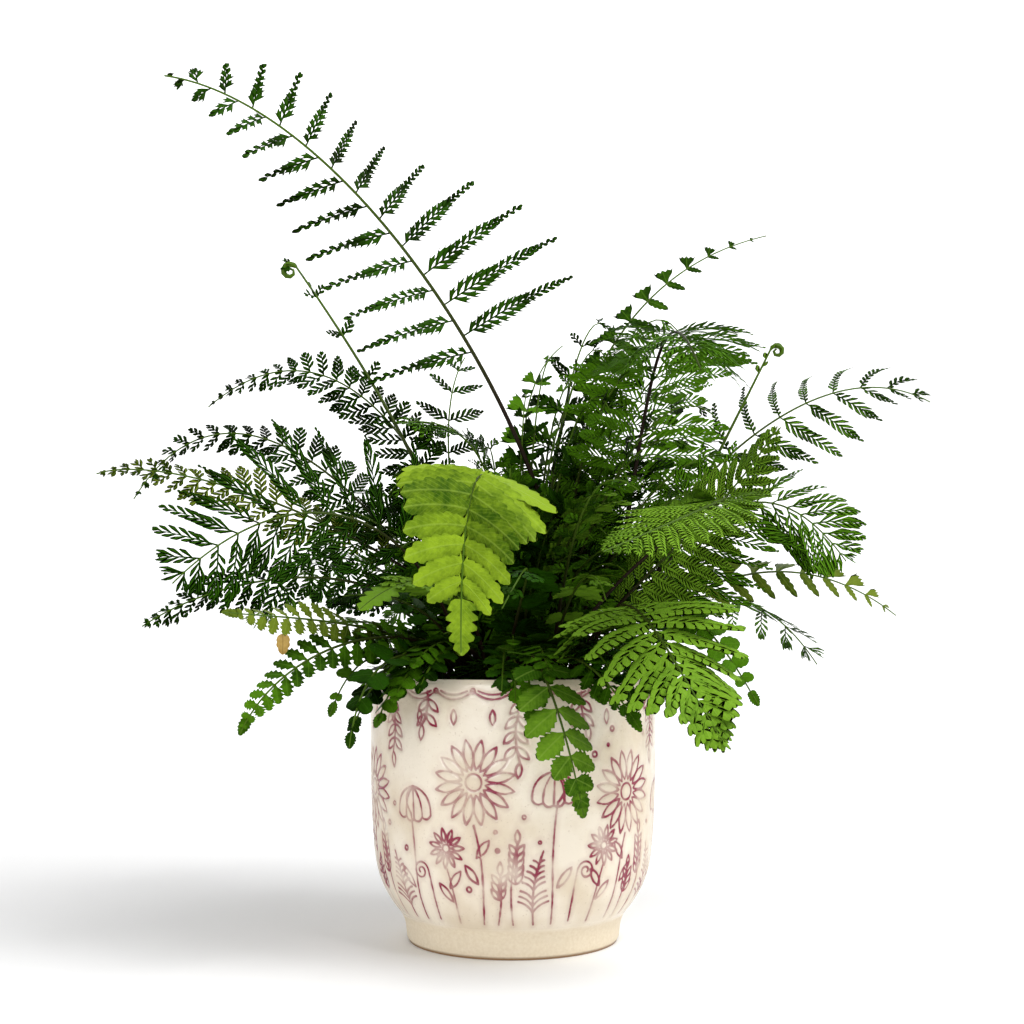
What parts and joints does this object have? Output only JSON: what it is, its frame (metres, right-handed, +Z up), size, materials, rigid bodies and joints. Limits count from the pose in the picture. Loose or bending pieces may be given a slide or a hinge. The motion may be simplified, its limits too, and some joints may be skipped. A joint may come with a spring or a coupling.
{
  "type": "potted mother fern",
  "caption": "Mother fern with finely cut arching fronds in a round cream glazed pot that stands on its own foot.",
  "frame": {"origin": "centre of the pot's flat underside, on the surface it stands on", "axes": "+Z up, -Y towards the viewer of the picture, +X to the viewer's right"},
  "size_m": [0.434, 0.3097, 0.4291],
  "materials": {
    "glaze": "cream glazed ceramic with plum line drawing pressed into it",
    "soil": "moist dark potting soil",
    "green_dark": "deep green leaf, slightly glossy",
    "green_mid": "green leaf, slightly glossy",
    "green_fresh": "fresh light green leaf",
    "green_lime": "young yellow-green leaf",
    "green_olive": "olive green older leaf"
  },
  "bodies": {
    "root": {"pot": "glaze", "soil": "soil", "frond_tall": "green_dark", "frond_young": "green_dark", "frond_left_high": "green_dark", "frond_left_branch": "green_dark", "frond_left_long": "green_olive", "frond_left_fan": "green_dark", "frond_left_low": "green_dark", "frond_left_olive": "green_olive", "frond_left_hanging": "green_mid", "frond_rim_left": "green_dark", "frond_rim_left_small": "green_mid", "frond_lime": "green_lime", "frond_pale_left": "green_fresh", "frond_front_hanging": "green_fresh", "frond_front_toothed": "green_mid", "frond_front_bright": "green_fresh", "frond_right_round": "green_mid", "frond_right_olive": "green_olive", "frond_feather_up": "green_fresh", "frond_feather_front": "green_fresh", "frond_right_open": "green_mid", "frond_right_top": "green_mid", "frond_right_upright": "green_mid", "frond_crozier": "green_fresh", "frond_dome": "green_mid", "frond_back_thin": "green_dark", "frond_inner_left": "green_mid", "frond_inner_back": "green_mid", "frond_inner_bright": "green_fresh", "frond_inner_olive": "green_olive", "frond_inner_low": "green_mid", "frond_back_left": "green_mid", "frond_back_left_high": "green_dark", "frond_back_middle": "green_mid", "frond_back_right": "green_dark", "frond_back_right_low": "green_mid", "frond_back_rim_left": "green_mid", "frond_back_rim_right": "green_fresh"}
  },
  "joints": []
}
